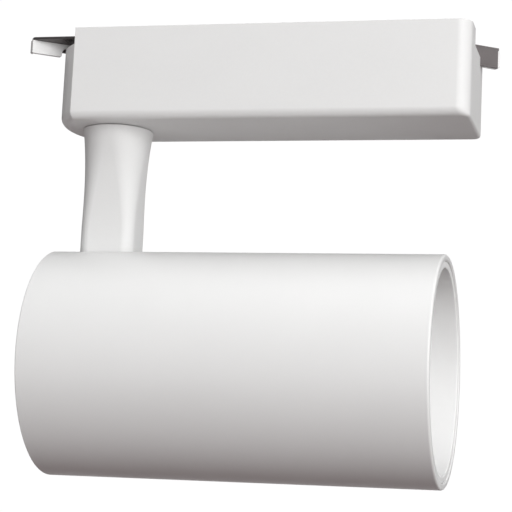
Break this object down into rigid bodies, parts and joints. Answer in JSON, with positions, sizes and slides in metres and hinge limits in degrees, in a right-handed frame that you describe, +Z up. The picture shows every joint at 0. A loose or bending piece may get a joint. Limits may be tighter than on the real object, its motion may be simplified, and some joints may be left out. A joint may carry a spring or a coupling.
{
  "type": "track spotlight",
  "caption": "Tubular spotlight that tilts on a hollow swivel stem under a long driver box, which clips into a lighting track with finger levers at its ends.",
  "frame": {"origin": "centre of the deck face on which the track's underside rests", "axes": "+Z up into the track, +X along the track and out of the lamp's mouth at rest, +Y across the track"},
  "size_m": [0.1716, 0.082, 0.1662],
  "materials": {
    "white_enamel": "fine satin powder coat",
    "white_plastic": "fine moulded texture",
    "dark_steel": "dark phosphated",
    "zinc_steel": "zinc plated",
    "contact_plastic": "moulded",
    "contact_brass": "stamped",
    "lead_insulation": "extruded",
    "insulating_paper": "pressed",
    "green_board": "solder mask",
    "ferrite": "ground ferrite",
    "yellow_tape": "wound tape",
    "capacitor_sleeve": "shrink sleeve",
    "copper_wire": "enamelled wire",
    "component_plastic": "moulded",
    "bush_plastic": "natural acetal",
    "bare_aluminium": "as extruded",
    "white_board": "white solder mask",
    "phosphor": "cast silicone",
    "bright_reflector": "facetted bright coat",
    "clear_lens": "polished",
    "grey_rubber": "moulded"
  },
  "bodies": {
    "adapter_box": {"box_housing": "white_plastic", "top_deck": "white_plastic", "deck_screws": "zinc_steel", "contact_carrier": "contact_plastic", "live_contact": "contact_brass", "neutral_contact": "contact_brass", "earth_contact": "contact_brass", "supply_leads": "lead_insulation", "insulation_sheet": "insulating_paper", "driver_board": "green_board", "board_screws": "zinc_steel", "transformer_core": "ferrite", "transformer_winding": "yellow_tape", "capacitors": "capacitor_sleeve", "line_choke": "copper_wire", "board_parts": "component_plastic", "output_leads": "lead_insulation", "swivel_bush": "bush_plastic", "swivel_stop_pin": "zinc_steel"},
    "left_lock": {"left_lock_arm": "dark_steel", "left_lock_cap": "white_plastic", "left_lock_dog": "zinc_steel", "left_lock_screw": "zinc_steel"},
    "right_lock": {"right_lock_arm": "dark_steel", "right_lock_cap": "white_plastic", "right_lock_dog": "zinc_steel", "right_lock_screw": "zinc_steel"},
    "stem": {"stem_arm": "white_enamel", "swivel_nut": "zinc_steel", "swivel_washer": "dark_steel", "swivel_stop_ring": "zinc_steel", "stem_leads": "lead_insulation"},
    "lamp_head": {"barrel_tube": "white_enamel", "rear_cap": "white_enamel", "rear_cap_screws": "zinc_steel", "slot_liner": "white_plastic", "tilt_bracket": "dark_steel", "bracket_screws": "zinc_steel", "tilt_pin": "zinc_steel", "tilt_nut": "zinc_steel", "tilt_washers": "dark_steel", "heat_sink": "bare_aluminium", "led_board": "white_board", "led_emitter": "phosphor", "led_holder": "white_plastic", "holder_screws": "zinc_steel", "reflector": "bright_reflector", "front_lens": "clear_lens", "lens_gasket": "grey_rubber", "front_ring": "white_enamel", "head_leads": "lead_insulation"}
  },
  "joints": [
    {"name": "swivel", "type": "hinge", "parent": "adapter_box", "child": "stem", "pos_m": [-0.056, 0, -0.033], "axis": [0, 0, 1], "range_deg": [-170, 170]},
    {"name": "tilt", "type": "hinge", "parent": "stem", "child": "lamp_head", "pos_m": [-0.056, 0, -0.12], "axis": [0, 1, 0], "range_deg": [0, 90]},
    {"name": "left_lever", "type": "hinge", "parent": "adapter_box", "child": "left_lock", "pos_m": [-0.05, 0, 0], "axis": [0, 0, 1], "range_deg": [-22, 0]},
    {"name": "right_lever", "type": "hinge", "parent": "adapter_box", "child": "right_lock", "pos_m": [0.05, 0, 0], "axis": [0, 0, 1], "range_deg": [-22, 0]}
  ]
}
